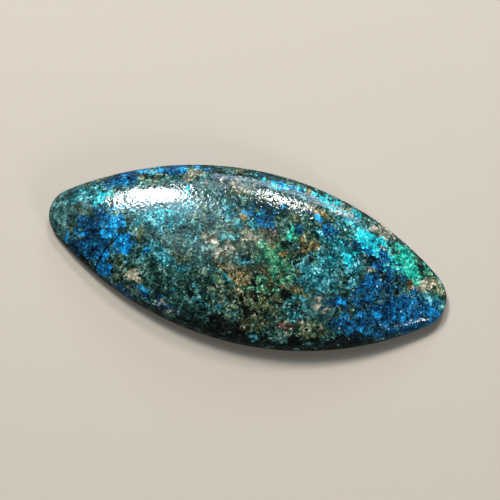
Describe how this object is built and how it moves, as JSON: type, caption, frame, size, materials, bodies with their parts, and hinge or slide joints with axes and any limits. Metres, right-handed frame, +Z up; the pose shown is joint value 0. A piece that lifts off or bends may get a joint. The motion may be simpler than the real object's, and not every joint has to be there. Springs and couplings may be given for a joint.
{
  "type": "azurite-malachite cabochon",
  "caption": "Polished marquise cabochon of azurite and malachite with a domed face, a thin girdle and a flat back to rest or set it on.",
  "frame": {"origin": "centre of the flat back, under the middle of the stone's length and width", "axes": "+X along the stone to its greener right tip, +Z up out of the back through the dome, +Y across to the side that the picture shows uppermost"},
  "size_m": [0.055, 0.0234, 0.006],
  "materials": {
    "stone": "opaque copper-mineral stone, hand polished to a wet gloss, mottled dark teal, green, azure blue and tan"
  },
  "bodies": {
    "root": {"cabochon": "stone"}
  },
  "joints": []
}
